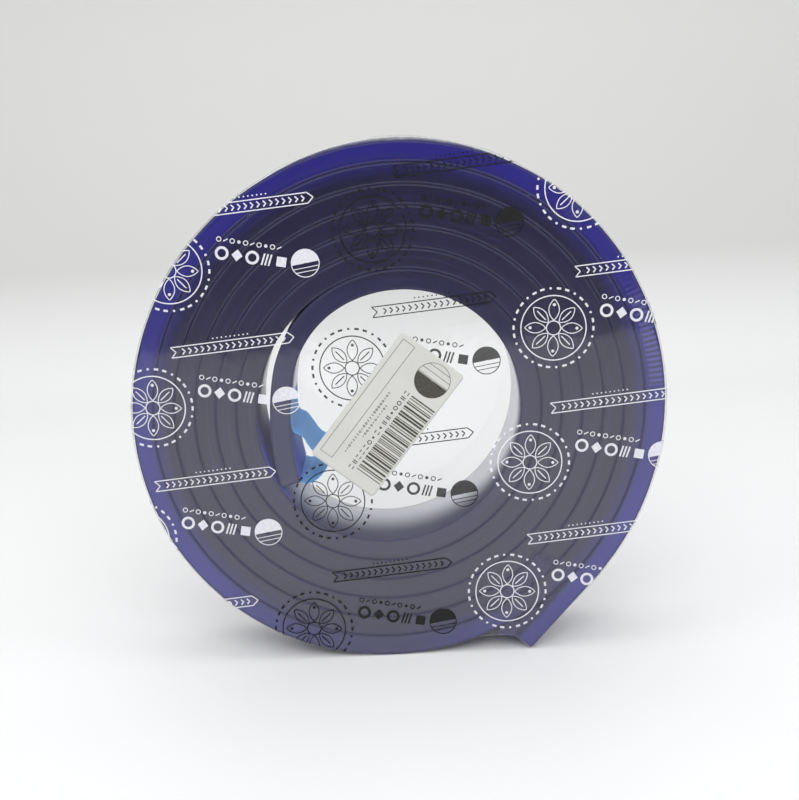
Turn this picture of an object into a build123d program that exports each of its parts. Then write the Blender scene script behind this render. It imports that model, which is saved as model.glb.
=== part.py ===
from build123d import *
import math
import os

# ---------------------------------------------------------------------------
# Coil of squeegee strip, standing on its rim, in its clear film.
# Millimetres, +Z up.  The coil's axis lies along Y; the front of the coil,
# where the turns show, looks towards -Y.  The origin is on the floor, half
# way along the wrapped coil in X and half way across the strip in Y.
# ---------------------------------------------------------------------------

# strip
STRIP_T = 9.0            # thickness of the strip
STRIP_W = 50.0           # width of the strip, along the coil's axis
STRIP_L = 3660.0         # length of the strip along its middle line
TURN_GAP = 0.1           # air between one turn and the next
PITCH = STRIP_T + TURN_GAP

# winding: a chain of arcs, twelve to a turn, that meet tangentially
ARC = 30.0               # degrees in one arc
TAIL_ANGLE = -42.0       # where the loose outer end leaves the coil
TAIL_L = 42.0            # straight length of the loose outer end
N_ARCS = 77              # arcs from the tail to where the inner end comes free
OVAL_COS, OVAL_SIN = 0.9, -4.8   # how far the turns are out of round
FREE_ARCS = [            # (degrees, radius) of the inner end, off the coil
    (12.0, 56.23),
    (49.88, 49.93),
    (23.65, 118.0),
]

# film round the coil
FILM_T = 0.3             # thickness the film is drawn with
FILM_GAP = 0.1           # air between film and strip
WEB_ANGLE = 291.0        # where the film leaves the rim to reach the loose end

# label on the front film
LABEL_L, LABEL_W, LABEL_T = 68.0, 34.0, 0.2
LABEL_TURN = 51.0        # degrees that its long side rises from level
LABEL_X, LABEL_Z = -3.0, -1.0    # its middle, from the middle of the coil

# tape at the inner end
TAPE_T = 0.3
TAPE_W = 48.0
TAPE_ON = (36.0, 28.0)   # stuck to the inner face between these distances
                         # from the end of the strip
TAPE_LOOP = [            # loop into the bore, from the end's inner corner:
    (3.2, 23.2), (6.2, 20.1), (7.7, 16.0), (9.0, 12.4), (10.7, 9.6),
    (12.9, 7.4), (14.2, 5.0), (11.8, 2.1), (7.9, -0.5), (4.7, -1.5),
    (1.9, -1.1),
]                        # (away from the strip, back up along the strip)


def n(a):
    """Unit vector at a degrees."""
    return (math.cos(math.radians(a)), math.sin(math.radians(a)))


def add(p, q, k=1.0):
    return (p[0] + k * q[0], p[1] + k * q[1])


def wind(base):
    """Arcs of the strip's middle line: (centre, start, end, radius)."""
    arcs = []
    c = (0.0, 0.0)
    for j in range(N_ARCS):
        a0 = TAIL_ANGLE + ARC * j
        mid = math.radians(a0 + ARC / 2)
        r = (base - PITCH * (j + 0.5) * ARC / 360.0
             + OVAL_COS * math.cos(2 * mid) + OVAL_SIN * math.sin(2 * mid))
        if arcs:
            c = add(c, n(a0), arcs[-1][3] - r)
        arcs.append((c, a0, a0 + ARC, r))
    for sweep, r in FREE_ARCS:
        a0 = arcs[-1][2]
        c = add(arcs[-1][0], n(a0), arcs[-1][3] - r)
        arcs.append((c, a0, a0 + sweep, r))
    return arcs


def middle_length(arcs):
    return TAIL_L + sum(math.radians(a1 - a0) * r for _, a0, a1, r in arcs)


# the winding radius that uses up exactly the strip's length
base = 110.0
for _ in range(5):
    base -= (middle_length(wind(base)) - STRIP_L) / math.radians(ARC * N_ARCS)
arcs = wind(base)

# the loose outer end
tail_n = n(TAIL_ANGLE)
tail_d = (tail_n[1], -tail_n[0])
tail_0 = add(arcs[0][0], tail_n, arcs[0][3])
tail_1 = add(tail_0, tail_d, TAIL_L)


def tip(off):
    """Lowest corner of the loose end, wrapped at distance off."""
    return add(add(tail_1, tail_n, STRIP_T / 2 + off), tail_d, off)


# lean the coil so that its underside and the tip of the loose end are level
def low(arc, lean, off):
    c, _, _, r = arc
    s, k = math.sin(math.radians(lean)), math.cos(math.radians(lean))
    return s * c[0] + k * c[1] - (r + STRIP_T / 2 + off)


WRAP = FILM_GAP + FILM_T
under = next(a for a in arcs if a[1] <= 270.0 <= a[2])
lean = 0.0
for _ in range(40):
    t = tip(WRAP)
    s, k = math.sin(math.radians(lean)), math.cos(math.radians(lean))
    lean -= math.degrees((s * t[0] + k * t[1] - low(under, lean, WRAP)) / 62.0) * 0.7
floor_z = low(under, lean, WRAP)

s, k = math.sin(math.radians(lean)), math.cos(math.radians(lean))


def turned(p):
    return (k * p[0] - s * p[1], s * p[0] + k * p[1])


# leftmost and rightmost points of the outer turn, for the origin
right = next(a for a in arcs if a[1] <= -lean <= a[2])
left = next(a for a in arcs if a[1] <= 180.0 - lean <= a[2])
mid_x = (turned(right[0])[0] + right[3] + turned(left[0])[0] - left[3]) / 2

# middle of the coil: mean of the outer turn's twelve arc centres
hub = turned((sum(a[0][0] for a in arcs[:12]) / 12,
              sum(a[0][1] for a in arcs[:12]) / 12))
hub_x, hub_z = hub[0] - mid_x, hub[1] - floor_z


def place(p):
    """Point of the winding to (x, z) of the part."""
    q = turned(p)
    return (q[0] - mid_x, q[1] - floor_z)


def on_arc(arc, a, off):
    c, _, _, r = arc
    return place(add(c, n(a), r + off))


def arc_edge(arc, off, a0=None, a1=None):
    a0 = arc[1] if a0 is None else a0
    a1 = arc[2] if a1 is None else a1
    return ThreePointArc(on_arc(arc, a0, off), on_arc(arc, (a0 + a1) / 2, off),
                         on_arc(arc, a1, off))


def slab(edges, y0, y1):
    """Closed outline in X and Z, from y0 to y1 behind the strip's front edge."""
    face = Plane.XZ.offset(STRIP_W / 2 - y0) * make_face(edges)
    return extrude(face, amount=y1 - y0, dir=(0, 1, 0))


# --- blade_strip -------------------------------------------------------------
H = STRIP_T / 2
edges = [arc_edge(a, H) for a in arcs]
last = arcs[-1]
edges.append(Line(on_arc(last, last[2], H), on_arc(last, last[2], -H)))
edges += [arc_edge(a, -H) for a in reversed(arcs)]
tail_in = [place(add(p, tail_n, -H)) for p in (tail_0, tail_1)]
tail_out = [place(add(p, tail_n, H)) for p in (tail_0, tail_1)]
edges.append(Line(tail_in[0], tail_in[1]))
edges.append(Line(tail_in[1], tail_out[1]))
edges.append(Line(tail_out[1], tail_out[0]))
blade_strip = slab(edges, 0.0, STRIP_W)


# --- wrap_film ---------------------------------------------------------------
def film_outline(off):
    """Rim of the packed coil at distance off from the strip."""
    out = []
    for a in arcs:
        if a[1] >= WEB_ANGLE:
            break
        out.append(arc_edge(a, H + off, None, min(a[2], WEB_ANGLE)))
        end = on_arc(a, min(a[2], WEB_ANGLE), H + off)
    inner = place(add(add(tail_1, tail_n, -H - off), tail_d, off))
    outer = place(tip(off))
    back = place(add(tail_0, tail_n, H + off))
    out += [Line(end, inner), Line(inner, outer), Line(outer, back)]
    return out


bag = slab(film_outline(WRAP), -WRAP, STRIP_W + WRAP)
room = slab(film_outline(FILM_GAP), -FILM_GAP, STRIP_W + FILM_GAP)
wrap_film = bag - room

# --- label -------------------------------------------------------------------
front = -STRIP_W / 2 - WRAP
label = (Location((hub_x + LABEL_X, front - LABEL_T / 2, hub_z + LABEL_Z),
                  (0, -LABEL_TURN, 0))
         * Box(LABEL_L, LABEL_T, LABEL_W))

# --- end_tape ----------------------------------------------------------------
r_in = last[3] - H


def on_face(d):
    """Point of the strip's inner face, d from the end."""
    return on_arc(last, last[2] - math.degrees(d / r_in), -H)


corner = on_face(0.0)
up = on_face(1.0)
along = (up[0] - corner[0], up[1] - corner[1])
away = (along[1], -along[0])
far_corner = on_arc(last, last[2], H)

path = [on_face(TAPE_ON[0] + (TAPE_ON[1] - TAPE_ON[0]) * i / 8) for i in range(9)]
loop = [add(add(corner, away, u), along, v) for u, v in TAPE_LOOP]
knots = [path[-2], path[-1]] + loop + [corner, add(corner, away, -1.0)]
for i in range(1, len(knots) - 2):
    p0, p1, p2, p3 = knots[i - 1:i + 3]
    for m in range(1, 6):
        u = m / 5
        path.append(tuple(
            0.5 * (2 * p1[q] + (p2[q] - p0[q]) * u
                   + (2 * p0[q] - 5 * p1[q] + 4 * p2[q] - p3[q]) * u * u
                   + (3 * p1[q] - p0[q] - 3 * p2[q] + p3[q]) * u ** 3)
            for q in (0, 1)))
path.append(far_corner)
skin = []
for i, p in enumerate(path):
    q0, q1 = path[max(i - 1, 0)], path[min(i + 1, len(path) - 1)]
    d = (q1[0] - q0[0], q1[1] - q0[1])
    m = math.hypot(*d)
    skin.append((p[0] - d[1] / m * TAPE_T, p[1] + d[0] / m * TAPE_T))
ring = path + skin[::-1]
# the loop lies to the left of its path, seen along the path
tape_edges = [Line(ring[i], ring[(i + 1) % len(ring)]) for i in range(len(ring))]
end_tape = slab(tape_edges, (STRIP_W - TAPE_W) / 2, (STRIP_W + TAPE_W) / 2)

# --- write -------------------------------------------------------------------
os.makedirs("parts", exist_ok=True)
for name, shape in (("blade_strip", blade_strip), ("wrap_film", wrap_film),
                    ("label", label), ("end_tape", end_tape)):
    export_step(shape, "parts/" + name + ".step")
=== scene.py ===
import math

import bpy
import numpy as np
from mathutils import Matrix, Vector


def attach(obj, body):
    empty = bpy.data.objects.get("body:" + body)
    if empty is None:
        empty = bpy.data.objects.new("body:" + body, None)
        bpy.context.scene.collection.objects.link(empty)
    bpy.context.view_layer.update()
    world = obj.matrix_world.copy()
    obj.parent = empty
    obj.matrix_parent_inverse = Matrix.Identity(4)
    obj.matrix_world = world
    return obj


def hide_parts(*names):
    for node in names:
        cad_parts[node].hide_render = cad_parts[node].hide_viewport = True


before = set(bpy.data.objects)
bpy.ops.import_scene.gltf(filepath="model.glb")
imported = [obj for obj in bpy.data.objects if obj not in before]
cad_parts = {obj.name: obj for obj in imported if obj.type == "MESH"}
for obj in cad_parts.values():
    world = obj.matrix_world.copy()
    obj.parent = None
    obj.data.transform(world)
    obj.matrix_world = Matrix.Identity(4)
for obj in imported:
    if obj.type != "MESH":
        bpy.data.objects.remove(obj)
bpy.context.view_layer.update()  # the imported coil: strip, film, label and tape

MM = 0.001

# ---------------------------------------------------------------------------
# The winding, with the same dimensions as the construction model (mm, degrees)
# ---------------------------------------------------------------------------
STRIP_T, STRIP_W, STRIP_L = 9.0, 50.0, 3660.0
PITCH = STRIP_T + 0.1
ARC, TAIL_ANGLE, TAIL_L, N_ARCS = 30.0, -42.0, 42.0, 77
OVAL_COS, OVAL_SIN = 0.9, -4.8
FREE_ARCS = [(12.0, 56.23), (49.88, 49.93), (23.65, 118.0)]
WEB_ANGLE = 291.0
FILM_OFF = 0.4
H = STRIP_T / 2


def unit(a):
    return np.array([math.cos(math.radians(a)), math.sin(math.radians(a))])


def wind(base):
    arcs, c = [], np.zeros(2)
    for j in range(N_ARCS):
        a0 = TAIL_ANGLE + ARC * j
        mid = math.radians(a0 + ARC / 2)
        r = (base - PITCH * (j + 0.5) * ARC / 360.0
             + OVAL_COS * math.cos(2 * mid) + OVAL_SIN * math.sin(2 * mid))
        if arcs:
            c = c + (arcs[-1][3] - r) * unit(a0)
        arcs.append((c.copy(), a0, a0 + ARC, r))
    for sweep, r in FREE_ARCS:
        a0 = arcs[-1][2]
        c = arcs[-1][0] + (arcs[-1][3] - r) * unit(a0)
        arcs.append((c.copy(), a0, a0 + sweep, r))
    return arcs


def middle_length(arcs):
    return TAIL_L + sum(math.radians(a1 - a0) * r for _, a0, a1, r in arcs)


base = 110.0
for _ in range(5):
    base -= (middle_length(wind(base)) - STRIP_L) / math.radians(ARC * N_ARCS)
arcs = wind(base)
tail_n = unit(TAIL_ANGLE)
tail_d = np.array([tail_n[1], -tail_n[0]])
tail_0 = arcs[0][0] + arcs[0][3] * tail_n
tail_1 = tail_0 + TAIL_L * tail_d


def tip(off):
    return tail_1 + (H + off) * tail_n + off * tail_d


def low(arc, lean, off):
    s, k = math.sin(math.radians(lean)), math.cos(math.radians(lean))
    return s * arc[0][0] + k * arc[0][1] - (arc[3] + H + off)


under = next(a for a in arcs if a[1] <= 270.0 <= a[2])
lean = 0.0
for _ in range(40):
    t = tip(FILM_OFF)
    s_, k_ = math.sin(math.radians(lean)), math.cos(math.radians(lean))
    lean -= math.degrees((s_ * t[0] + k_ * t[1] - low(under, lean, FILM_OFF)) / 62.0) * 0.7
floor_z = low(under, lean, FILM_OFF)
s_, k_ = math.sin(math.radians(lean)), math.cos(math.radians(lean))
TURN = np.array([[k_, s_], [-s_, k_]])  # row vectors times this
right = next(a for a in arcs if a[1] <= -lean <= a[2])
left = next(a for a in arcs if a[1] <= 180.0 - lean <= a[2])
mid_x = ((right[0] @ TURN)[0] + right[3] + (left[0] @ TURN)[0] - left[3]) / 2
hub = np.mean([a[0] for a in arcs[:12]], axis=0) @ TURN - np.array([mid_x, floor_z])


def place(p):
    return np.atleast_2d(p) @ TURN - np.array([mid_x, floor_z])


def station(psi=None, tail=None):
    """(point, outward normal) of the strip's middle line, in the part's x and z."""
    if tail is not None:
        return place(tail_0 + tail * tail_d)[0], tail_n @ TURN
    i = min(int((psi - TAIL_ANGLE) // ARC), N_ARCS) if psi < arcs[-3][1] else len(arcs) - 3
    while i < len(arcs) - 1 and psi > arcs[i][2]:
        i += 1
    c, _, _, r = arcs[i]
    return place(c + r * unit(psi))[0], unit(psi) @ TURN


PSI_END, PSI_FREE = arcs[-1][2], arcs[-3][1]


# ---------------------------------------------------------------------------
# Small helpers
# ---------------------------------------------------------------------------
def smooth(a, b, x):
    t = np.clip((np.asarray(x, float) - a) / (b - a), 0, 1)
    return t * t * (3 - 2 * t)


def lattice(seed):
    rng = np.random.default_rng(seed)
    return rng.uniform(-1, 1, (64, 64))


def noise2(x, y, seed):
    """Smooth repeatable noise, about -1 to 1."""
    g = lattice(seed)
    x, y = np.asarray(x, float), np.asarray(y, float)
    xi, yi = np.floor(x).astype(int), np.floor(y).astype(int)
    fx, fy = x - xi, y - yi
    fx, fy = fx * fx * (3 - 2 * fx), fy * fy * (3 - 2 * fy)
    v = lambda a, b: g[a % 64, b % 64]
    return ((v(xi, yi) * (1 - fx) + v(xi + 1, yi) * fx) * (1 - fy)
            + (v(xi, yi + 1) * (1 - fx) + v(xi + 1, yi + 1) * fx) * fy)


def new_mesh(name, verts, faces, shade=True):
    me = bpy.data.meshes.new(name)
    me.from_pydata([tuple(v) for v in verts], [], [tuple(int(i) for i in f) for f in faces])
    me.validate()
    if shade:
        me.polygons.foreach_set("use_smooth", [True] * len(me.polygons))
    me.update()
    ob = bpy.data.objects.new(name, me)
    bpy.context.scene.collection.objects.link(ob)
    return ob


def put_attr(ob, name, values, kind="FLOAT"):
    at = ob.data.attributes.new(name, kind, "POINT")
    key = "value" if kind == "FLOAT" else "vector"
    at.data.foreach_set(key, np.asarray(values, np.float32).ravel())


class Nodes:
    """A material's node tree, with short ways to add to it."""

    def __init__(self, name):
        self.mat = bpy.data.materials.new(name)
        self.mat.use_nodes = True
        self.t = self.mat.node_tree
        self.t.nodes.clear()
        self.out = self.t.nodes.new("ShaderNodeOutputMaterial")

    def add(self, kind, **sockets):
        n = self.t.nodes.new(kind)
        for k, v in sockets.items():
            k = k.replace("_", " ")
            if k not in n.inputs:
                k = next(s.name for s in n.inputs if s.name.lower() == k.lower())
            if hasattr(v, "is_linked"):
                self.t.links.new(v, n.inputs[k])
            else:
                n.inputs[k].default_value = v
        return n

    def attr(self, name):
        n = self.t.nodes.new("ShaderNodeAttribute")
        n.attribute_name = name
        return n

    def math(self, op, a, b=0.0, clamp=False):
        n = self.t.nodes.new("ShaderNodeMath")
        n.operation, n.use_clamp = op, clamp
        for i, v in enumerate((a, b)):
            if hasattr(v, "is_linked"):
                self.t.links.new(v, n.inputs[i])
            else:
                n.inputs[i].default_value = v
        return n.outputs[0]

    def mix(self, fac, a, b, blend="MIX"):
        n = self.t.nodes.new("ShaderNodeMix")
        n.data_type, n.blend_type = "RGBA", blend
        for i, v in ((0, fac), (6, a), (7, b)):
            if hasattr(v, "is_linked"):
                self.t.links.new(v, n.inputs[i])
            else:
                n.inputs[i].default_value = v if i == 0 else (*v, 1.0)
        return n.outputs[2]

    def noise(self, vec, scale, detail=2.0, rough=0.5, dist=0.0):
        n = self.add("ShaderNodeTexNoise", Scale=scale, Detail=detail, Roughness=rough, Distortion=dist)
        self.t.links.new(vec, n.inputs["Vector"])
        return n.outputs["Fac"]

    def mapping(self, vec, scale=(1, 1, 1), rot=(0, 0, 0)):
        n = self.t.nodes.new("ShaderNodeMapping")
        n.inputs["Scale"].default_value = scale
        n.inputs["Rotation"].default_value = rot
        self.t.links.new(vec, n.inputs["Vector"])
        return n.outputs[0]

    def bump(self, height, strength, distance, normal=None):
        n = self.add("ShaderNodeBump", Strength=strength, Distance=distance)
        self.t.links.new(height, n.inputs["Height"])
        if normal is not None:
            self.t.links.new(normal, n.inputs["Normal"])
        return n.outputs[0]

    def ramp(self, fac, lo, hi, a=0.0, b=1.0):
        n = self.t.nodes.new("ShaderNodeMapRange")
        for i, v in enumerate((fac, lo, hi, a, b)):
            if hasattr(v, "is_linked"):
                self.t.links.new(v, n.inputs[i])
            else:
                n.inputs[i].default_value = v
        return n.outputs[0]

    def surface(self, shader):
        self.t.links.new(shader.outputs[0], self.out.inputs["Surface"])
        return self.mat


# ---------------------------------------------------------------------------
# The wrapped rim
# ---------------------------------------------------------------------------
def outline(off, spacing=1.6):
    """Closed loop of the wrapped rim in the part's x and z."""
    pts = []
    for c, a0, a1, r in arcs:
        if a0 >= WEB_ANGLE:
            break
        a1 = min(a1, WEB_ANGLE)
        k = max(2, int(math.radians(a1 - a0) * r / spacing))
        pts += [c + (r + H + off) * unit(a) for a in np.linspace(a0, a1, k, endpoint=False)]
    end = pts[-1]
    inner = tail_1 - (H + off) * tail_n + off * tail_d
    outer = tip(off)
    back = tail_0 + (H + off) * tail_n
    # the web sags a little between the coil and the loose end
    for t in np.linspace(0, 1, 9)[1:]:
        q = end * (1 - t) + inner * t
        pts.append(q + np.array([0.0, 0.9]) * math.sin(math.pi * t))
    for a, b, k in ((inner, outer, 6), (outer, back, 24)):
        pts += [a * (1 - t) + b * t for t in np.linspace(0, 1, k, endpoint=False)[1:]]
    return place(np.array(pts))


rim_loop = outline(FILM_OFF - 0.12)
NL = len(rim_loop)
nxt, prv = np.roll(rim_loop, -1, 0), np.roll(rim_loop, 1, 0)
tang = nxt - prv
tang /= np.linalg.norm(tang, axis=1)[:, None]
rim_n = np.stack([tang[:, 1], -tang[:, 0]], -1)


def nearest(P):
    """Signed distance to the film's rim (inside is negative), nearest point and normal."""
    d = np.empty(len(P))
    q = np.empty((len(P), 2))
    nn = np.empty((len(P), 2))
    a, ab = rim_loop, np.roll(rim_loop, -1, 0) - rim_loop
    L2 = (ab ** 2).sum(1)
    for i in range(0, len(P), 1500):
        p = P[i:i + 1500]
        t = np.clip(((p[:, None] - a[None]) * ab[None]).sum(2) / L2[None], 0, 1)
        c = a[None] + t[..., None] * ab[None]
        dist = np.linalg.norm(p[:, None] - c, axis=2)
        j = dist.argmin(1)
        r = np.arange(len(p))
        d[i:i + 1500] = dist[r, j]
        q[i:i + 1500] = c[r, j]
        nn[i:i + 1500] = rim_n[j]
    side = ((P - q) * nn).sum(1)
    return np.where(side > 0, d, -d), q, nn


# ---------------------------------------------------------------------------
# The strip: one swept section along the whole winding
# ---------------------------------------------------------------------------
RIB_PITCH = 2.35
RIB_LO, RIB_HI = 1.0, 52.0  # degrees on the outer turn that carry chatter ribs

stations = []  # (s, psi or None, point, normal)
for d in np.arange(TAIL_L, 0.0, -1.0):
    p, nn = station(tail=d)
    stations.append((TAIL_L - d, TAIL_ANGLE, p, nn))
s = TAIL_L
psi = TAIL_ANGLE
while psi < PSI_END - 1e-6:
    p, nn = station(psi)
    stations.append((s, psi, p, nn))
    i = next(k for k, a in enumerate(arcs) if a[1] <= psi + 1e-9 < a[2])
    r = arcs[i][3]
    step = 0.3 if RIB_LO - 1 < psi < RIB_HI + 1 else 2.4
    dpsi = math.degrees(step / r)
    nxt = min(psi + dpsi, arcs[i][2], PSI_END)
    s += math.radians(nxt - psi) * r
    psi = nxt
p, nn = station(PSI_END)
stations.append((s, PSI_END, p, nn))

ROUND = 0.32  # the strip's edges are cut square and only just broken
ring = []  # (u across the thickness, y across the width, front-face flag)
for i in range(13):
    ring.append((-H + ROUND + (STRIP_T - 2 * ROUND) * i / 12, -25.0, 1))
for i in (1, 2):
    a = math.radians(30 * i)
    ring.append((H - ROUND + ROUND * math.sin(a), -25 + ROUND - ROUND * math.cos(a), 1))
for i in range(9):
    ring.append((H, -25 + ROUND + (STRIP_W - 2 * ROUND) * i / 8, 0))
for i in (1, 2):
    a = math.radians(30 * i)
    ring.append((H - ROUND + ROUND * math.cos(a), 25 - ROUND + ROUND * math.sin(a), -1))
for i in range(7):
    ring.append((H - ROUND - (STRIP_T - 2 * ROUND) * i / 6, 25.0, -1))
for i in (1, 2):
    a = math.radians(30 * i)
    ring.append((-H + ROUND - ROUND * math.sin(a), 25 - ROUND + ROUND * math.cos(a), -1))
for i in range(9):
    ring.append((-H, 25 - ROUND - (STRIP_W - 2 * ROUND) * i / 8, 0))
for i in (1, 2):
    a = math.radians(30 * i)
    ring.append((-H + ROUND - ROUND * math.cos(a), -25 + ROUND - ROUND * math.sin(a), 1))
ring = np.array(ring)
NR = len(ring)

verts, suv, ribs, walls, turns, blues, dips = [], [], [], [], [], [], []
last_i = len(stations) - 1
for k, (s, psi, p, nn) in enumerate(stations):
    u, y, flag = ring[:, 0].copy(), ring[:, 1].copy(), ring[:, 2]
    if k in (0, last_i):  # broken edge of the end cuts
        u = u * (H - ROUND) / H
        y = y * (25 - ROUND) / 25
    # the turns are not quite flush with each other at the front and the back
    wob = noise2(s / 170.0, 0.5, 3) * 0.10 + noise2(s / 41.0, 7.5, 4) * 0.04
    front = 0.16 + wob
    back = 0.16 - 0.8 * wob
    y = np.where(flag > 0, y + front, np.where(flag < 0, y - back, y * (1 - 0.16 / 25)))
    # chatter ribs left by the knife on the outer turn's front edge
    rib = np.zeros(NR)
    if RIB_LO < psi < RIB_HI and s > TAIL_L:
        fade = (smooth(RIB_LO, RIB_LO + 4, psi) * (1 - 0.92 * smooth(20, 28, psi))
                + 0.30 * math.exp(-((psi - 47) / 3) ** 2))
        inner = smooth(-3.0, -1.6, u) * (1 - smooth(3.9, 4.5, u))
        wave = 0.5 + 0.5 * math.cos(2 * math.pi * s / RIB_PITCH)
        rib = np.where(flag > 0, fade * wave * inner, 0.0)
        y = y + 0.28 * rib
    x = p[0] + u * nn[0]
    z = p[1] + u * nn[1]
    verts.append(np.stack([x, y, z], -1) * MM)
    suv.append(np.stack([np.full(NR, s), u, y], -1) * MM)
    # the rib heights also mark a painted highlight on the crests
    ribs.append(rib)
    # the troughs between the ribs carry painted shade, and are matt
    dips.append(np.where(flag > 0, fade * (1 - wave) * inner, 0.0) if RIB_LO < psi < RIB_HI and s > TAIL_L
                else np.zeros(NR))
    # the face towards the bore, once nothing lies inside it any more
    bore = float(smooth(PSI_FREE - 370, PSI_FREE - 356, psi))
    shade = math.exp(-(((psi % 360) - 200) / 17) ** 2)
    outer_face = float(smooth(PSI_FREE - 4, PSI_FREE + 8, psi))
    right_ = math.exp(-(((psi + 180) % 360 - 178) / 38) ** 2)
    under_ = math.exp(-(((psi % 360) - 272) / 42) ** 2)
    facing_gap = np.where(flag == 0, np.where(u < 0, bore, outer_face), 0.0)
    # painted shade: the bore's lower wall, in the shade of the loose end, is marked for a deep blue
    blues.append(facing_gap * shade)
    # painted light on the bore's wall, whitish and growing towards the back
    walls.append(facing_gap * (1 - shade)
                 * smooth(-26.0 + 9 * under_, 4.0 + 22 * under_ - 12 * right_, ring[:, 1]))
    # painted glow on the innermost turns, which take light through the bore
    turns.append(np.full(NR, float(smooth(PSI_END - 378, PSI_END - 350, psi)) *
                         (0.45 + 0.55 * float(smooth(PSI_FREE - 12, PSI_FREE + 20, psi))))
                 * (1 - smooth(-1.5, 4.5, ring[:, 0]) * (1 - float(smooth(PSI_FREE - 12, PSI_FREE + 20, psi)) * 0.8)))
verts, suv = np.concatenate(verts), np.concatenate(suv)
faces = []
for k in range(last_i):
    a, b = k * NR, (k + 1) * NR
    for i in range(NR):
        j = (i + 1) % NR
        faces.append((a + i, b + i, b + j, a + j))
faces.append(tuple(range(NR)))
faces.append(tuple(last_i * NR + i for i in range(NR - 1, -1, -1)))
strip = new_mesh("strip", verts, faces)
put_attr(strip, "suv", suv, "FLOAT_VECTOR")
# painted glow: light that reaches in from the rim is painted into the colour, so the outer turn is a clear blue, the
# next nearly dark, and the bottom of the rim less blue
flat = verts[:, (0, 2)] / MM
depth = -nearest(flat)[0]
ang = np.degrees(np.arctan2(flat[:, 1] - hub[1], flat[:, 0] - hub[0]))
painted_edge_glow = (1 - smooth(4.0, 16.5, depth)) * (1 - 0.78 * np.exp(-((ang + 96) / 30) ** 2))
put_attr(strip, "painted_edge_glow", painted_edge_glow)
put_attr(strip, "painted_bore_glow", np.concatenate(turns))
put_attr(strip, "bloom", np.concatenate(walls))
put_attr(strip, "shade", np.concatenate(blues))
put_attr(strip, "rib", np.concatenate(ribs))
put_attr(strip, "dip", np.concatenate(dips))
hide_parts("blade_strip")
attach(strip, "root")

m = Nodes("polyurethane")
uvw = m.attr("suv").outputs["Vector"]
sep = m.add("ShaderNodeSeparateXYZ")
m.t.links.new(uvw, sep.inputs[0])
along, across, width = sep.outputs
outer = m.attr("painted_edge_glow").outputs["Fac"]
inner = m.attr("painted_bore_glow").outputs["Fac"]
bloom = m.attr("bloom").outputs["Fac"]
rib = m.attr("rib").outputs["Fac"]
# slow clouding in the cast body, finer along the length than across it
cloud = m.noise(m.mapping(uvw, (9, 60, 14)), 1.0, 3.0, 0.55)
patch = m.noise(m.mapping(uvw, (26, 45, 30)), 1.0, 2.0, 0.5)
streak = m.noise(m.mapping(uvw, (14, 700, 30)), 1.0, 2.0, 0.5)
core = m.mix(cloud, (0.003, 0.002, 0.026), (0.008, 0.006, 0.046))
rim = m.mix(patch, (0.006, 0.003, 0.150), (0.017, 0.011, 0.235))
bore = m.mix(cloud, (0.003, 0.002, 0.042), (0.008, 0.006, 0.072))
# painted glow: the innermost turn, lit through the bore, is painted a brighter blue
col = m.mix(inner, core, bore)
# painted glow: the turns near the rim are painted a clear blue
col = m.mix(outer, col, rim)
# painted shade: each turn is painted a little lighter along its middle and darker into the joints
side = m.math("ABSOLUTE", across)
joint_shade = m.ramp(side, 0.0020, 0.0043, 1.05, 0.85)
col = m.mix(1.0, col, m.add("ShaderNodeCombineXYZ", X=joint_shade, Y=joint_shade, Z=joint_shade).outputs[0], "MULTIPLY")
col = m.mix(m.math("MULTIPLY", m.ramp(streak, 0.5, 0.75), 0.20), col, (0.05, 0.04, 0.15))
# painted highlight on the crests of the chatter ribs
col = m.mix(m.math("MULTIPLY", m.ramp(rib, 0.25, 1.0), 0.65), col, (0.085, 0.072, 0.400))
# painted shade in the troughs between the ribs
col = m.mix(m.math("MULTIPLY", m.attr("dip").outputs["Fac"], 0.80), col, (0.010, 0.008, 0.075))
# painted shade and light at the joints: the broken edges are painted one dark blue, which darkens them on the bright
# outer turn and lifts the shade in the grooves of the dark inner turns
col = m.mix(m.math("MULTIPLY", m.ramp(side, 0.0034, 0.0043), 0.70), col, (0.011, 0.010, 0.070))
# painted light: the wall of the bore is painted whitish, growing towards the back, for the light that comes in through
# the bore
col = m.mix(bloom, col, (0.70, 0.70, 0.745))
# painted shade: the lower wall of the bore, in the shade of the loose end, is painted deep blue
col = m.mix(m.attr("shade").outputs["Fac"], col, (0.120, 0.105, 0.620))
rough = m.ramp(m.noise(m.mapping(uvw, (40, 40, 40)), 1.0, 3.0), 0.3, 0.7, 0.276, 0.282)
# the broken edges are matt, the cut faces glossy
rough = m.math("ADD", rough, m.math("MULTIPLY", m.attr("dip").outputs["Fac"], 0.35))
rough = m.math("ADD", rough, m.ramp(side, 0.0033, 0.0041, 0.0, 0.62), True)
rough = m.math("SUBTRACT", rough, m.math("MULTIPLY", bloom, 0.66), True)
nick = m.noise(m.mapping(uvw, (900, 160, 160)), 1.0, 2.0, 0.6)
swell = m.noise(m.mapping(uvw, (22, 90, 25)), 1.0, 1.0)
nrm = m.bump(nick, 0.05, 0.00005)
nrm = m.bump(swell, 0.25, 0.0004, nrm)
pu = m.add("ShaderNodeBsdfPrincipled", Roughness=rough, IOR=1.77, Normal=nrm)
m.t.links.new(col, pu.inputs["Base Color"])
strip.data.materials.append(m.surface(pu))


# ---------------------------------------------------------------------------
# The film
# ---------------------------------------------------------------------------
FRONT = -25.30


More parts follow.
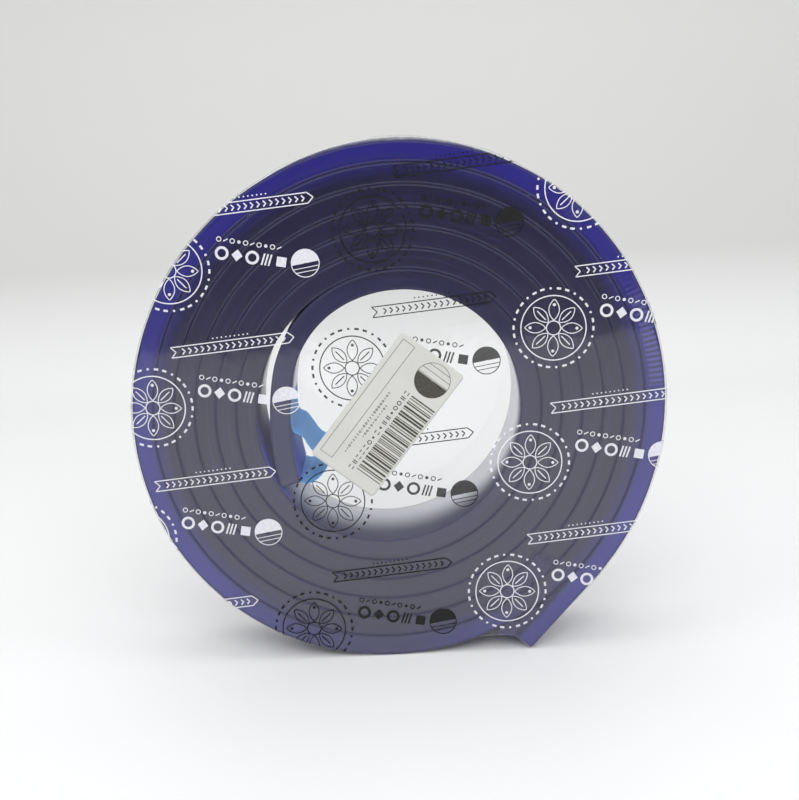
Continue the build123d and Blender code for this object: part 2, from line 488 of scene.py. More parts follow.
def slack(x, z):
    """How far the stretched film stands off flat, in mm (less than a tenth)."""
    x, z = np.asarray(x, float), np.asarray(z, float)
    rx, rz = x - hub[0], z - hub[1]
    r = np.hypot(rx, rz)
    a = np.arctan2(rz, rx)
    d = 0.050 * noise2(x / 38 + 3, z / 30 + 9, 11) + 0.018 * noise2(x / 13 + 5, z / 15 + 2, 12)
    # fine creases drawn across the bore towards the label
    c = np.sin(0.9 * (x * 0.35 + z) + 2.2 * noise2(x / 22, z / 22, 13))
    crease = np.maximum(0, c) ** 6 * smooth(20, 42, r) * (1 - smooth(50, 64, r))
    d = d + 0.030 * crease * smooth(0.1, 0.6, noise2(x / 30 + 7, z / 30 + 1, 14))
    # gathers at the rim
    g = np.sin(34 * a + 3 * noise2(a * 3 + 20, r / 50, 15))
    d = d + 0.020 * np.maximum(0, g) ** 4 * smooth(98, 114, r) * smooth(0.0, 0.5, noise2(a * 2 + 9, 3.3, 16))
    return np.clip(d, -0.08, 0.08)


rings = []
radial = np.concatenate([np.linspace(0.02, 0.5, 14), np.linspace(0.53, 0.985, 22)])
for t in radial:
    q = hub + (rim_loop - hub) * t
    rings.append(np.stack([q[:, 0], FRONT - slack(q[:, 0], q[:, 1]), q[:, 1]], -1))
# the film stands off the rim in places and turns over its edges in a soft round
ra = np.degrees(np.arctan2(rim_loop[:, 1] - hub[1], rim_loop[:, 0] - hub[0]))


def hump(c, w):
    return np.exp(-((ra - c) / w) ** 2)


stand = (0.25 + 0.50 * hump(0, 30) + 0.25 * hump(135, 30) + 0.30 * np.maximum(hump(180, 25), hump(-180, 25))
         + 0.12 * noise2(ra / 9 + 30, 0.5, 24))
stand = np.clip(stand, 0.08, 1.2) * (1 - 0.9 * hump(-92, 38))
behind = 1.3 * hump(86, 9) + 0.9 * hump(67, 6) + 0.5 * hump(112, 7)
quarter = np.radians((0, 22, 45, 68, 90))
BACK = 25.30


def rim_ring(out, y):
    q = rim_loop + rim_n * np.asarray(out)[:, None]
    q[:, 1] = np.maximum(q[:, 1], 0.03)
    return np.stack([q[:, 0], y, q[:, 1]], -1)


first_rim = len(rings)
rr_ = 0.45 + stand
for a in quarter:
    rings.append(rim_ring(stand - rr_ + rr_ * math.sin(a), FRONT + rr_ - rr_ * math.cos(a)))
for t in np.linspace(0.08, 0.92, 17):
    y = (FRONT + rr_) * (1 - t) + (BACK - rr_) * t
    ar = np.radians(ra)
    pleat = np.maximum(0, np.sin(26 * ar + 0.05 * y + 3 * noise2(ar * 2.5 + 4, y / 30, 21))) ** 3
    pleat = 0.28 * pleat * smooth(-0.2, 0.3, noise2(ar * 4 + 30, y / 19 + 5, 22))
    sag = stand * (1 - 0.5 * math.sin(math.pi * t)) + behind * math.sin(math.pi * min(1, t * 1.1)) ** 2
    rings.append(rim_ring(sag + pleat, y))
for a in quarter[::-1]:
    rings.append(rim_ring(stand - rr_ + rr_ * math.sin(a), BACK - rr_ + rr_ * math.cos(a)))
last_rim = len(rings)
for t in radial[::-1]:
    q = hub + (rim_loop - hub) * t
    rings.append(np.stack([q[:, 0], BACK + slack(q[:, 0] + 60, q[:, 1] + 25), q[:, 1]], -1))
nring = len(rings)
fv = list(np.concatenate(rings))
fv.append(np.array([hub[0], FRONT - float(slack(hub[0], hub[1])), hub[1]]))
fv.append(np.array([hub[0], BACK, hub[1]]))
ff = []
for k in range(nring - 1):
    for i in range(NL):
        j = (i + 1) % NL
        ff.append((k * NL + i, k * NL + j, (k + 1) * NL + j, (k + 1) * NL + i))
c0, c1 = nring * NL, nring * NL + 1
for i in range(NL):
    j = (i + 1) % NL
    ff.append((c0, j, i))
    ff.append((c1, (nring - 1) * NL + i, (nring - 1) * NL + j))
film = new_mesh("film", np.array(fv) * MM, ff)
bunched = [0] * len(film.data.polygons)
for k in range(first_rim, last_rim - 1):
    for i in range(NL):
        bunched[k * NL + i] = 1
film.data.polygons.foreach_set("material_index", bunched)
# between the coil and the loose end the film is doubled and clouded; there it also carries painted shade, a dark
# blue-grey on the face, and painted blue light from the strip where it is gathered
fp = np.array(fv)
t0, td = place(tail_0)[0], tail_d @ TURN
tn = tail_n @ TURN
rel = fp[:, (0, 2)] - t0
t_, h_ = rel @ td, rel @ tn
near = np.array([q for _, a, q, _ in stations if TAIL_ANGLE + 270 < a < TAIL_ANGLE + 364])
free = np.array([np.linalg.norm(near - q, axis=1).min() for q in fp[:, (0, 2)]]) - H
web = smooth(-0.6, 0.9, free) * smooth(-0.8, 0.6, -H - h_) * smooth(2.0, 8.0, t_) * (t_ < TAIL_L + 4) * (np.abs(h_) < 24)
put_attr(film, "web", web * (fp[:, 1] < -20))
put_attr(film, "under", web)
mids = np.array([q for _, _, q, _ in stations[::2]])
away = np.concatenate([np.sqrt(((mids[None] - c[:, None]) ** 2).sum(2).min(1))
                       for c in np.array_split(fp[:, (0, 2)], 40)]) - H
put_attr(film, "cling", 1 - smooth(-0.3, 1.2, away))
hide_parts("wrap_film")
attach(film, "root")

m = Nodes("clear_film")
co = m.add("ShaderNodeTexCoord").outputs["Object"]
facing = m.add("ShaderNodeLayerWeight", Blend=0.5).outputs["Facing"]
# where the film clings to the strip only its outer face still reflects
face_on = m.ramp(m.attr("cling").outputs["Fac"], 0.0, 1.0, 0.050, 0.044)
fres = m.math("ADD", m.math("MULTIPLY", m.math("POWER", facing, 5.0), 0.90), face_on)
wr = m.noise(m.mapping(co, (30, 30, 30)), 1.0, 3.0, 0.55, 0.4)
nrm = m.bump(wr, 0.25, 0.0004)
clear = m.add("ShaderNodeBsdfTransparent", Color=(0.985, 0.987, 0.990, 1))
gloss = m.add("ShaderNodeBsdfGlossy", Color=(1, 1, 1, 1), Roughness=0.05, Normal=nrm)
mixer = m.t.nodes.new("ShaderNodeMixShader")
m.t.links.new(fres, mixer.inputs[0])
m.t.links.new(clear.outputs[0], mixer.inputs[1])
m.t.links.new(gloss.outputs[0], mixer.inputs[2])
web = m.attr("web").outputs["Fac"]
# painted shade: the film over the crook is painted a dark blue-grey
clouded_web_shade = m.add("ShaderNodeBsdfPrincipled", Base_Color=(0.070, 0.066, 0.125, 1), Roughness=0.30, IOR=1.6,
               Normal=nrm)
wm = m.t.nodes.new("ShaderNodeMixShader")
m.t.links.new(m.math("MULTIPLY", web, 0.80), wm.inputs[0])
m.t.links.new(mixer.outputs[0], wm.inputs[1])
m.t.links.new(clouded_web_shade.outputs[0], wm.inputs[2])
film.data.materials.append(m.surface(wm))
# where it is gathered over the rim its layers turn milky
m = Nodes("gathered_film")
co = m.add("ShaderNodeTexCoord").outputs["Object"]
facing = m.add("ShaderNodeLayerWeight", Blend=0.5).outputs["Facing"]
pl = m.noise(m.mapping(co, (230, 26, 230)), 1.0, 4.0, 0.6, 0.8)
cover = m.math("ADD", m.ramp(pl, 0.50, 0.74, 0.02, 0.17), m.math("MULTIPLY", m.math("POWER", facing, 3.0), 0.28), True)
# painted light: under the loose end the gathered film is painted blue, for the blue light from the strip, and made
# more opaque
under = m.attr("under").outputs["Fac"]
cover = m.math("ADD", cover, m.math("MULTIPLY", under, 0.50), True)
milk = m.add("ShaderNodeBsdfPrincipled", Roughness=0.18, IOR=1.5, Normal=m.bump(pl, 0.5, 0.0006))
m.t.links.new(m.mix(under, (0.93, 0.94, 0.97), (0.13, 0.14, 0.40)), milk.inputs["Base Color"])
clear = m.add("ShaderNodeBsdfTransparent", Color=(0.985, 0.987, 0.990, 1))
mixer = m.t.nodes.new("ShaderNodeMixShader")
m.t.links.new(cover, mixer.inputs[0])
m.t.links.new(clear.outputs[0], mixer.inputs[1])
m.t.links.new(milk.outputs[0], mixer.inputs[2])
film.data.materials.append(m.surface(mixer))


# ---------------------------------------------------------------------------
# Generic print on the film: rosettes, a chevron ribbon and a row of marks
# ---------------------------------------------------------------------------
class Ink:
    """Flat shapes in their own millimetre plane, gathered as one mesh."""

    def __init__(self):
        self.v, self.f, self.n = [], [], 0

    def grid(self, pts):
        """pts: rows x cols x 2"""
        rows, cols, _ = pts.shape
        self.v.append(pts.reshape(-1, 2))
        for i in range(rows - 1):
            for j in range(cols - 1):
                a = self.n + i * cols + j
                self.f.append((a, a + 1, a + cols + 1, a + cols))
        self.n += rows * cols

    def quad(self, a, b, c, d, step=1.6):
        """Filled four-sided patch a b c d."""
        a, b, c, d = (np.asarray(p, float) for p in (a, b, c, d))
        cols = max(2, int(max(np.linalg.norm(b - a), np.linalg.norm(c - d)) / step) + 2)
        rows = max(2, int(max(np.linalg.norm(d - a), np.linalg.norm(c - b)) / step) + 2)
        u, v = np.linspace(0, 1, cols), np.linspace(0, 1, rows)
        g = ((1 - v)[:, None, None] * ((1 - u)[None, :, None] * a + u[None, :, None] * b)
             + v[:, None, None] * ((1 - u)[None, :, None] * d + u[None, :, None] * c))
        self.grid(g)

    def stroke(self, pts, w, closed=False):
        pts = np.asarray(pts, float)
        if closed:
            t = np.roll(pts, -1, 0) - np.roll(pts, 1, 0)
        else:
            t = np.gradient(pts, axis=0)
        t /= np.maximum(np.linalg.norm(t, axis=1), 1e-9)[:, None]
        nrm = np.stack([-t[:, 1], t[:, 0]], -1) * w / 2
        rows = np.stack([pts - nrm, pts + nrm])
        if closed:
            rows = np.concatenate([rows, rows[:, :1]], axis=1)
        self.grid(rows)

    def line(self, a, b, w):
        a, b = np.asarray(a, float), np.asarray(b, float)
        k = max(2, int(np.linalg.norm(b - a) / 1.5) + 1)
        self.stroke([a + (b - a) * t for t in np.linspace(0, 1, k)], w)

    def arc(self, c, r, a0, a1, w):
        k = max(6, int(abs(math.radians(a1 - a0)) * r / 0.6))
        a = np.radians(np.linspace(a0, a1, k))
        self.stroke(np.stack([c[0] + r * np.cos(a), c[1] + r * np.sin(a)], -1), w)

    def circle(self, c, r, w):
        k = max(16, int(2 * math.pi * r / 0.7))
        a = np.linspace(0, 2 * math.pi, k, endpoint=False)
        self.stroke(np.stack([c[0] + r * np.cos(a), c[1] + r * np.sin(a)], -1), w, True)

    def disc(self, c, r):
        k = max(12, int(2 * math.pi * r / 0.7))
        a = np.linspace(0, 2 * math.pi, k + 1)
        rr = np.linspace(0.05, 1, max(2, int(r / 1.2) + 2))
        self.grid(np.stack([c[0] + r * rr[:, None] * np.cos(a), c[1] + r * rr[:, None] * np.sin(a)], -1))


def rosette():
    """A plain eight-petalled wheel with a ring of dashes round it."""
    k = Ink()
    k.circle((0, 0), 14.2, 0.55)
    k.circle((0, 0), 3.1, 0.5)
    for i in range(8):
        a = math.radians(45 * i)
        r = np.linspace(3.4, 12.6, 12)
        w = 2.3 * np.sin(np.pi * (r - 3.4) / 9.2) ** 0.8
        for sgn in (1, -1):
            pts = np.stack([r * math.cos(a) - sgn * w * math.sin(a),
                            r * math.sin(a) + sgn * w * math.cos(a)], -1)
            k.stroke(pts, 0.42)
        if i % 2:
            k.stroke([(q * math.cos(a), q * math.sin(a)) for q in np.linspace(5, 10.4, 6)], 0.5)
        else:
            k.disc((10.2 * math.cos(a), 10.2 * math.sin(a)), 0.7)
    for i in range(30):
        a = 12 * i
        if i % 3 == 2:
            k.disc((17.4 * math.cos(math.radians(a)), 17.4 * math.sin(math.radians(a))), 0.55)
        else:
            k.arc((0, 0), 17.4, a - 3.2, a + 3.2, 0.95)
    return k


def ribbon():
    """A long outlined ribbon filled with chevrons."""
    k = Ink()
    L, w = 27.0, 2.3
    k.line((-L, -w), (L - 2.5, -w), 0.5)
    k.line((-L, w), (L - 2.5, w), 0.5)
    k.line((L - 2.5, w), (L, 0), 0.5)
    k.line((L, 0), (L - 2.5, -w), 0.5)
    k.line((-L, -w), (-L + 2.2, 0), 0.5)
    k.line((-L + 2.2, 0), (-L, w), 0.5)
    for i in range(17):
        x = -L + 5.0 + i * 2.75
        k.stroke([(x, -1.25), (x + 0.6, -0.6), (x + 1.15, 0), (x + 0.6, 0.6), (x, 1.25)], 0.62)
    for i in range(9):
        k.disc((-8 + i * 1.9, 4.0), 0.35)
    return k


def marks():
    """A row of bold plain shapes over a row of small ones, with a striped disc."""
    k = Ink()
    x = 0.0
    k.circle((x, 0), 2.4, 1.15)
    x += 6.6
    k.quad((x - 2.4, 0), (x, -2.6), (x + 2.4, 0), (x, 2.6))
    x += 6.6
    k.circle((x, 0), 2.4, 1.15)
    x += 6.2
    for d in (-1.5, 0, 1.5):
        k.line((x + d - 0.4, -2.5), (x + d + 0.4, 2.5), 0.75)
    x += 6.4
    k.quad((x - 2.1, -2.1), (x + 2.1, -2.1), (x + 2.1, 2.1), (x - 2.1, 2.1))
    for i in range(10):
        q = -2.0 + i * 2.9
        if i % 4 == 3:
            k.disc((q, 5.8), 0.75)
        elif i % 2:
            k.line((q - 0.9, 5.2), (q + 0.9, 6.4), 0.5)
        else:
            k.circle((q, 5.8), 0.95, 0.42)
    c = (x + 10.2, 1.0)
    a = np.radians(np.linspace(20, 200, 26))
    rr = np.linspace(0.04, 1, 6)
    k.grid(np.stack([c[0] + 6.2 * rr[:, None] * np.cos(a), c[1] + 6.2 * rr[:, None] * np.sin(a)], -1))
    k.arc(c, 6.0, 200, 380, 0.42)
    for t in (1.9, 3.6):
        h = math.sqrt(6.0 ** 2 - t ** 2)
        o = math.radians(20)
        dx, dz = math.cos(o), math.sin(o)
        k.line((c[0] - h * dx + t * dz, c[1] - h * dz - t * dx),
               (c[0] + h * dx + t * dz, c[1] + h * dz - t * dx), 0.36)
    return k


ROS, RIB, MRK = rosette(), ribbon(), marks()


def stand_at(Q):
    """How far the film stands off the rim, at the angle of each point."""
    a = np.degrees(np.arctan2(Q[:, 1] - hub[1], Q[:, 0] - hub[0]))
    k = np.argsort(ra)
    return np.interp(a, ra[k], stand[k], period=360)


def film_print(name, groups, face, mat):
    """Lays groups [(ink, x, z, angle)] on the film: flat on the face, and round the rim past it."""
    V, F, n0 = [], [], 0
    for ink, cx, cz, ang in groups:
        P = np.concatenate(ink.v)
        c, s = math.cos(math.radians(ang)), math.sin(math.radians(ang))
        Q = np.stack([cx + P[:, 0] * c - P[:, 1] * s, cz + P[:, 0] * s + P[:, 1] * c], -1)
        if np.hypot(*(Q - hub).T).min() > 165:
            continue
        V.append(Q)
        F += [tuple(i + n0 for i in f) for f in ink.f]
        n0 += len(Q)
    Q = np.concatenate(V)
    e, q, nn = nearest(Q)
    lift = 0.10
    flat_y = FRONT - slack(Q[:, 0], Q[:, 1]) - lift
    if face < 0:
        flat_y = BACK + slack(Q[:, 0] + 60, Q[:, 1] + 25) + lift
    # from 0.5 mm inside the rim the film bends back over it
    bend = np.clip(e + 0.45, 0, None)
    edge = q + nn * (stand_at(Q)[:, None] + lift)
    y_rim = (FRONT - lift + bend) if face > 0 else (BACK + lift - bend)
    over = bend > 0
    X = np.where(over, np.where(e > 0, edge[:, 0], Q[:, 0]), Q[:, 0])
    Z = np.where(over, np.where(e > 0, edge[:, 1], Q[:, 1]), Q[:, 1])
    Y = np.where(over & (e > 0), y_rim, flat_y)
    keep = (e < 49.3)
    F = [f for f in F if all(keep[i] for i in f)]
    used = sorted({i for f in F for i in f})
    where = {v: i for i, v in enumerate(used)}
    P3 = np.stack([X, Y, Z], -1)[used] * MM
    F = [tuple(where[i] for i in f) for f in F]
    if face < 0:
        F = [f[::-1] for f in F]
    ob = new_mesh(name, P3, F, shade=False)
    ob.data.materials.append(mat)
    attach(ob, "root")
    return ob


def ink_material(name, a, b, cover):
    m = Nodes(name)
    co = m.add("ShaderNodeTexCoord").outputs["Object"]
    grain = m.noise(m.mapping(co, (900, 900, 900)), 1.0, 2.0)
    col = m.mix(m.ramp(grain, 0.35, 0.65), a, b)
    p = m.add("ShaderNodeBsdfPrincipled", Roughness=0.5, IOR=1.35)
    m.t.links.new(col, p.inputs["Base Color"])
    p.inputs["Alpha"].default_value = cover
    return m.surface(p)


white_ink = ink_material("ink_white", (0.70, 0.70, 0.78), (0.80, 0.80, 0.86), 0.86)
black_ink = ink_material("ink_black", (0.008, 0.008, 0.009), (0.014, 0.013, 0.013), 0.90)

TILT = -11.0
ROWS, COLS = 61.0, 84.0


def layout(cols, shift=0.0, phase=0.0):
    """Half-drop repeat: each second column starts half a row lower."""
    out = []
    ct, st = math.cos(math.radians(TILT)), math.sin(math.radians(TILT))
    for c in cols:
        for r in range(-5, 6):
            u = c * COLS + shift
            v = r * ROWS + (c % 2) * ROWS / 2 + phase
            x, z = hub[0] + u * ct - v * st, hub[1] + u * st + v * ct
            at = lambda dx, dz: (x + dx * ct - dz * st, z + dx * st + dz * ct)
            out.append((ROS, *at(-23, 6), TILT + 8))
            out.append((MRK, *at(-1.5, 17), TILT))
            out.append((RIB, *at(8, -22), TILT + 16))
    return out


film_print("print_white", layout((-1, 1), 2.0, 11.0), 1, white_ink)
film_print("print_black", layout((0,), 2.0, 11.0), 1, black_ink)

# ---------------------------------------------------------------------------
# The label
# ---------------------------------------------------------------------------
LABEL_L, LABEL_W, LABEL_TURN = 68.0, 34.0, 51.0
lab_c = hub + np.array([-3.0, -1.0])
lu, lv = unit(LABEL_TURN), unit(LABEL_TURN + 90)


def label_y(u, v):
    """Height of the label's face over the film: it lifts a little at its ends."""
    e = np.abs(u) / (LABEL_L / 2)
    return 0.24 + 0.22 * smooth(0.86, 1.05, e) * (0.6 + 0.4 * np.sin(v / 9)) + 0.02 * noise2(u / 9 + 3, v / 9 + 8, 31)


def label_at(u, v, lift=0.0):
    u, v = np.asarray(u, float), np.asarray(v, float)
    x = lab_c[0] + u * lu[0] + v * lv[0]
    z = lab_c[1] + u * lu[1] + v * lv[1]
    return np.stack([x, FRONT - slack(x, z) - 0.04 - label_y(u, v) - lift, z], -1)


nu, nv = 69, 35
U, V = np.meshgrid(np.linspace(-LABEL_L / 2, LABEL_L / 2, nu), np.linspace(-LABEL_W / 2, LABEL_W / 2, nv), indexing="ij")
# the corners are slightly rounded by pulling the grid in there
cr = 1.2
du, dv = LABEL_L / 2 - np.abs(U), LABEL_W / 2 - np.abs(V)
cut = np.clip(cr - du, 0, None) + np.clip(cr - dv, 0, None) - cr
pull = np.clip(cut, 0, None) * 0.45
U2, V2 = U - np.sign(U) * pull, V - np.sign(V) * pull
front_v = label_at(U2, V2).reshape(-1, 3)
back_v = front_v + np.array([0, 0.10, 0])
lvts = np.concatenate([front_v, back_v]) * MM
lf = []
N = nu * nv
for i in range(nu - 1):
    for j in range(nv - 1):
        a = i * nv + j
        lf.append((a, a + nv, a + nv + 1, a + 1))
        lf.append((N + a, N + a + 1, N + a + nv + 1, N + a + nv))
edge_loop = ([i * nv for i in range(nu)] + [(nu - 1) * nv + j for j in range(1, nv)]
             + [i * nv + nv - 1 for i in range(nu - 2, -1, -1)] + [j for j in range(nv - 2, 0, -1)])
for a, b in zip(edge_loop, edge_loop[1:] + edge_loop[:1]):
    lf.append((a, a + N, b + N, b))
label = new_mesh("label_sheet", lvts, lf)
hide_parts("label")
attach(label, "root")

m = Nodes("label_paper")
co = m.add("ShaderNodeTexCoord").outputs["Object"]
fib = m.noise(m.mapping(co, (700, 700, 700)), 1.0, 4.0, 0.6)
blot = m.noise(m.mapping(co, (45, 45, 45)), 1.0, 2.0)
col = m.mix(m.ramp(blot, 0.3, 0.7), (0.545, 0.548, 0.522), (0.590, 0.592, 0.564))
col = m.mix(m.math("MULTIPLY", m.ramp(fib, 0.45, 0.7), 0.25), col, (0.52, 0.52, 0.49))
p = m.add("ShaderNodeBsdfPrincipled", Roughness=0.55, IOR=1.45, Normal=m.bump(fib, 0.2, 0.00008))
m.t.links.new(col, p.inputs["Base Color"])
label.data.materials.append(m.surface(p))

ink = Ink()
# long ruled box down one side
x0, x1 = -30.0, 31.5
ink.line((x0, 14.6), (x1, 14.6), 0.20)
ink.line((x0, 8.4), (x1, 8.4), 0.20)
ink.line((x0, 14.6), (x0, 8.4), 0.20)
ink.line((x1, 14.6), (x1, 8.4), 0.20)
rng = np.random.default_rng(5)
# two rows of small marks, then a row of larger ones
for row, (xa, xb, hh) in ((5.3, (-24.0, 9.0, 0.55)), (2.9, (-14.0, 4.5, 0.5))):
    x = xa
    while x < xb:
        k = rng.integers(0, 3)
        if k == 0:
            ink.circle((x, row), hh * 0.75, 0.28)
        elif k == 1:
            ink.line((x, row - hh), (x, row + hh), 0.34)
        else:
            ink.line((x - 0.4, row), (x + 0.4, row), 0.34)
        x += 1.55
x = -29.0
while x < 15.0:
    k = rng.integers(0, 4)
    if k == 0:
        ink.circle((x + 0.7, -1.0), 0.85, 0.40)
    elif k == 1:
        ink.line((x + 0.3, -2.1), (x + 0.3, 0.1), 0.45)
        ink.line((x + 1.2, -2.1), (x + 1.2, 0.1), 0.45)
    elif k == 2:
        ink.line((x, -1.9), (x + 1.5, -1.9), 0.42)
        ink.line((x, -0.1), (x + 1.5, -0.1), 0.42)
    else:
        ink.disc((x + 0.7, -1.0), 0.55)
    x += 2.75
# block of plain bars
x = -27.5
while x < 13.5:
    w = rng.choice([0.38, 0.38, 0.62, 0.95])
    ink.line((x + w / 2, -16.0), (x + w / 2, -3.4), w)
    x += w + rng.choice([0.42, 0.42, 0.7, 1.05])
# plain mark at the top: solid half disc over ruled lines
a = np.radians(np.linspace(90, 270, 30))
rr = np.linspace(0.04, 1, 8)
ink.grid(np.stack([24.2 + 8.0 * rr[:, None] * np.cos(a), -6.6 + 8.0 * rr[:, None] * np.sin(a)], -1))
for t in (0.4, 3.0, 5.6):
    hh = math.sqrt(max(8.0 ** 2 - t ** 2, 0))
    ink.line((24.2 + t, -6.6 - hh), (24.2 + t, -6.6 + hh), 0.22)
ink.arc((24.2, -6.6), 7.9, -90, 90, 0.22)
P = np.concatenate(ink.v)
lp = new_mesh("label_print", label_at(P[:, 0], P[:, 1], 0.03) * MM, [f[::-1] for f in ink.f], shade=False)
m = Nodes("label_ink")
co = m.add("ShaderNodeTexCoord").outputs["Object"]
gr = m.noise(m.mapping(co, (1200, 1200, 1200)), 1.0, 2.0)
col = m.mix(m.ramp(gr, 0.3, 0.7), (0.035, 0.033, 0.025), (0.075, 0.070, 0.055))
p = m.add("ShaderNodeBsdfPrincipled", Roughness=0.5)
m.t.links.new(col, p.inputs["Base Color"])
lp.data.materials.append(m.surface(p))
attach(lp, "root")

# ---------------------------------------------------------------------------
# The tape: a ribbon looped from the strip's inner face round its end
# ---------------------------------------------------------------------------
last = arcs[-1]
r_in = last[3] - H


def on_face(d):
    return place(last[0] + r_in * unit(last[2] - math.degrees(d / r_in)))[0]


corner = on_face(0.0)
up = on_face(1.0)
al = up - corner
aw = np.array([al[1], -al[0]])
far = place(last[0] + (last[3] + H) * unit(last[2]))[0]
loop = [(3.2, 23.2), (6.2, 20.1), (7.7, 16.0), (9.0, 12.4), (10.7, 9.6), (12.9, 7.4), (14.2, 5.0),
        (11.8, 2.1), (7.9, -0.5), (4.7, -1.5), (1.9, -1.1)]
knots = [on_face(36.0), on_face(32.0), on_face(28.0)] + [corner + u * aw + v * al for u, v in loop] + [corner, (corner + far) / 2, far]
path = []
for i in range(len(knots) - 1):
    p0, p1, p2, p3 = knots[max(i - 1, 0)], knots[i], knots[i + 1], knots[min(i + 2, len(knots) - 1)]
    for u in np.linspace(0, 1, 7, endpoint=False):
        path.append(0.5 * (2 * p1 + (p2 - p0) * u + (2 * p0 - 5 * p1 + 4 * p2 - p3) * u * u
                           + (3 * p1 - p0 - 3 * p2 + p3) * u ** 3))
path.append(far)
path = np.array(path)
t = np.gradient(path, axis=0)
t /= np.linalg.norm(t, axis=1)[:, None]
left_n = np.stack([-t[:, 1], t[:, 0]], -1)
NP, NW = len(path), 25
tv = []
for side, off in ((0, 0.05), (1, 0.17)):
    for i in range(NP):
        f = i / (NP - 1)
        for j in range(NW):
            w = -24 + 48 * j / (NW - 1)
            wav = 0.25 * noise2(f * 9 + 2, w / 9 + 4, 41) * smooth(0.18, 0.3, f) * (1 - smooth(0.72, 0.85, f))
            edge = 0.35 * noise2(f * 22, 3 + np.sign(w), 42) * (abs(w) > 23)
            q = path[i] + left_n[i] * (off + wav)
            tv.append((q[0] * MM, (w + edge) * MM, q[1] * MM))
tf = []
M = NP * NW
for i in range(NP - 1):
    for j in range(NW - 1):
        a = i * NW + j
        tf.append((a, a + 1, a + NW + 1, a + NW))
        tf.append((M + a, M + a + NW, M + a + NW + 1, M + a + 1))
el = ([i * NW for i in range(NP)] + [(NP - 1) * NW + j for j in range(1, NW)]
      + [i * NW + NW - 1 for i in range(NP - 2, -1, -1)] + [j for j in range(NW - 2, 0, -1)])
for a, b in zip(el, el[1:] + el[:1]):
    tf.append((a, b, b + M, a + M))
tape = new_mesh("tape_loop", tv, tf)
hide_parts("end_tape")
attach(tape, "root")
m = Nodes("blue_tape")
co = m.add("ShaderNodeTexCoord").outputs["Object"]
str_ = m.noise(m.mapping(co, (60, 900, 60)), 1.0, 2.0)
blo = m.noise(m.mapping(co, (120, 60, 120)), 1.0, 2.0)
col = m.mix(m.ramp(blo, 0.3, 0.7), (0.130, 0.450, 0.920), (0.190, 0.540, 0.970))
col = m.mix(m.math("MULTIPLY", m.ramp(str_, 0.5, 0.7), 0.3), col, (0.20, 0.42, 0.70))
p = m.add("ShaderNodeBsdfPrincipled", Roughness=0.40, IOR=1.40, Normal=m.bump(blo, 0.3, 0.0004))
m.t.links.new(col, p.inputs["Base Color"])
tr = m.add("ShaderNodeBsdfTranslucent", Color=(0.50, 0.86, 1.0, 1))
mx = m.t.nodes.new("ShaderNodeMixShader")
mx.inputs[0].default_value = 0.56
m.t.links.new(p.outputs[0], mx.inputs[1])
m.t.links.new(tr.outputs[0], mx.inputs[2])
tape.data.materials.append(m.surface(mx))

# ---------------------------------------------------------------------------
# Floor and backdrop: one pale sweep whose front edge ends before the camera
# ---------------------------------------------------------------------------
prof = [(-0.865, 0.0), (0.55, 0.0)]
R = 0.40
for i in range(1, 17):
    a = math.radians(90 * i / 16)
    prof.append((0.55 + R * math.sin(a), R - R * math.cos(a)))
prof.append((0.95, 2.2))
sv, sf = [], []
for y, z in prof:
    sv += [(-2.4, y, z), (2.4, y, z)]
for i in range(len(prof) - 1):
    sf.append((2 * i, 2 * i + 1, 2 * i + 3, 2 * i + 2))
sweep = new_mesh("sweep", sv, sf)
m = Nodes("sweep_paper")
co = m.add("ShaderNodeTexCoord").outputs["Object"]
fl = m.noise(m.mapping(co, (3, 3, 3)), 1.0, 2.0)
height = m.add("ShaderNodeSeparateXYZ")
m.t.links.new(co, height.inputs[0])
ground = m.mix(fl, (0.855, 0.858, 0.864), (0.875, 0.877, 0.880))
col = m.mix(m.ramp(height.outputs[2], 0.0, 0.09), ground, (0.610, 0.613, 0.602))
p = m.add("ShaderNodeBsdfPrincipled", Roughness=0.45, IOR=1.40)
m.t.links.new(col, p.inputs["Base Color"])
sweep.data.materials.append(m.surface(p))

# ---------------------------------------------------------------------------
# Light and camera
# ---------------------------------------------------------------------------
scene = bpy.context.scene


def area(name, at, aim, size, power, colour=(1, 1, 1)):
    d = bpy.data.lights.new(name, "AREA")
    d.shape, d.size, d.size_y = "RECTANGLE", size[0], size[1]
    d.energy, d.color = power, colour
    o = bpy.data.objects.new(name, d)
    scene.collection.objects.link(o)
    o.location = at
    o.rotation_euler = (Vector(aim) - Vector(at)).to_track_quat("-Z", "Y").to_euler()
    return o


area("top_soft", (-0.10, -0.38, 1.55), (0, -0.30, 0), (1.9, 1.7), 9.5, (1.0, 1.0, 1.0))
area("back_soft", (0.0, 0.50, 0.95), (0, 0.38, 0), (1.3, 0.6), 1.6, (1.0, 1.0, 1.0))
area("front_soft", (0.1, -1.75, 1.35), (0, 0, 0.05), (1.9, 1.0), 25.0, (1.0, 1.0, 1.0))
area("left_soft", (-1.3, -0.7, 0.9), (0, 0, 0.1), (0.9, 0.9), 4.0, (1.0, 0.99, 0.97))
area("right_soft", (1.4, -0.5, 0.9), (0, 0, 0.1), (0.9, 0.9), 4.0, (0.97, 0.98, 1.0))

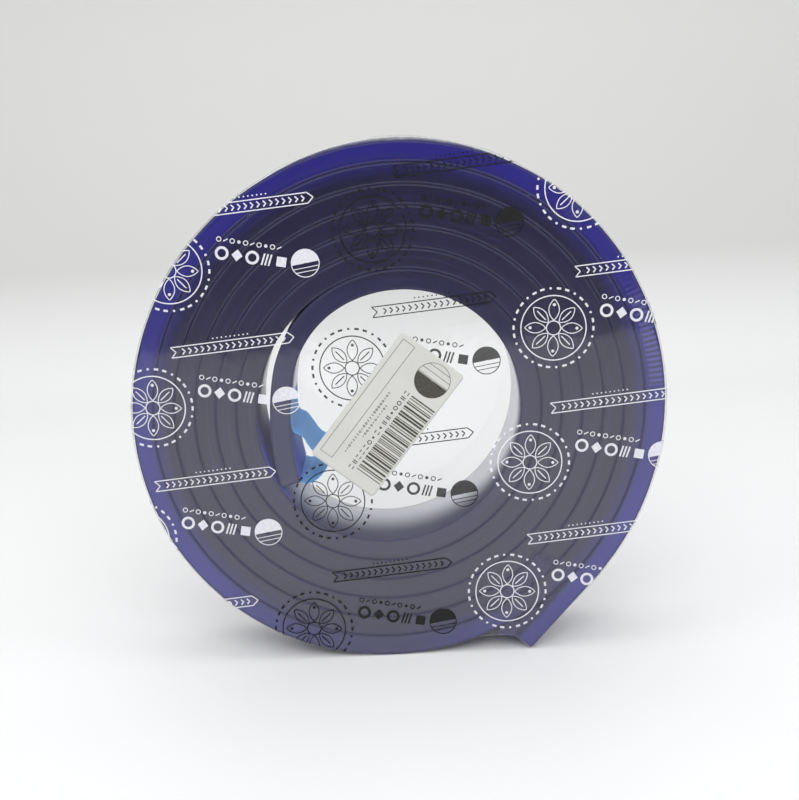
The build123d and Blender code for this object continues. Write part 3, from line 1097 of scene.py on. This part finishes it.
world = bpy.data.worlds.new("room")
scene.world = world
world.use_nodes = True
wt = world.node_tree
wt.nodes.clear()
wo = wt.nodes.new("ShaderNodeOutputWorld")
bg = wt.nodes.new("ShaderNodeBackground")
bg.inputs["Color"].default_value = (0.050, 0.050, 0.058, 1)
bg.inputs["Strength"].default_value = 1.0
pale = wt.nodes.new("ShaderNodeBackground")
pale.inputs["Color"].default_value = (0.78, 0.79, 0.78, 1)
lp_ = wt.nodes.new("ShaderNodeLightPath")
mw = wt.nodes.new("ShaderNodeMixShader")
wt.links.new(lp_.outputs["Is Camera Ray"], mw.inputs[0])
fill = wt.nodes.new("ShaderNodeBackground")
fill.inputs["Color"].default_value = (0.40, 0.403, 0.405, 1)
md = wt.nodes.new("ShaderNodeMixShader")
wt.links.new(lp_.outputs["Is Diffuse Ray"], md.inputs[0])
wt.links.new(bg.outputs[0], md.inputs[1])
wt.links.new(fill.outputs[0], md.inputs[2])
wt.links.new(md.outputs[0], mw.inputs[1])
wt.links.new(pale.outputs[0], mw.inputs[2])
wt.links.new(mw.outputs[0], wo.inputs["Surface"])

scene.view_settings.view_transform = "Standard"
scene.view_settings.look = "None"

AIM = np.array([0.359, -25.0, 119.126]) * MM
DIST, ELEV, AZIM, ROLL, F_PX = 0.604758, 12.173, 0.064, -2.492, 1375.919
e, a, ro = (math.radians(q) for q in (ELEV, AZIM, ROLL))
pos = AIM + DIST * np.array([-math.sin(a) * math.cos(e), -math.cos(a) * math.cos(e), math.sin(e)])
fwd = Vector(AIM - pos).normalized()
rgt = fwd.cross(Vector((0, 0, 1))).normalized()
upv = rgt.cross(fwd)
r2 = rgt * math.cos(ro) + upv * math.sin(ro)
u2 = -rgt * math.sin(ro) + upv * math.cos(ro)
cam_d = bpy.data.cameras.new("cam")
cam_d.sensor_width = 36.0
cam_d.lens = F_PX / 800.0 * 36.0
cam_d.clip_start, cam_d.clip_end = 0.01, 20
cam = bpy.data.objects.new("cam", cam_d)
scene.collection.objects.link(cam)
cam.matrix_world = Matrix(((r2.x, u2.x, -fwd.x, pos[0]), (r2.y, u2.y, -fwd.y, pos[1]),
                           (r2.z, u2.z, -fwd.z, pos[2]), (0, 0, 0, 1)))
scene.camera = cam
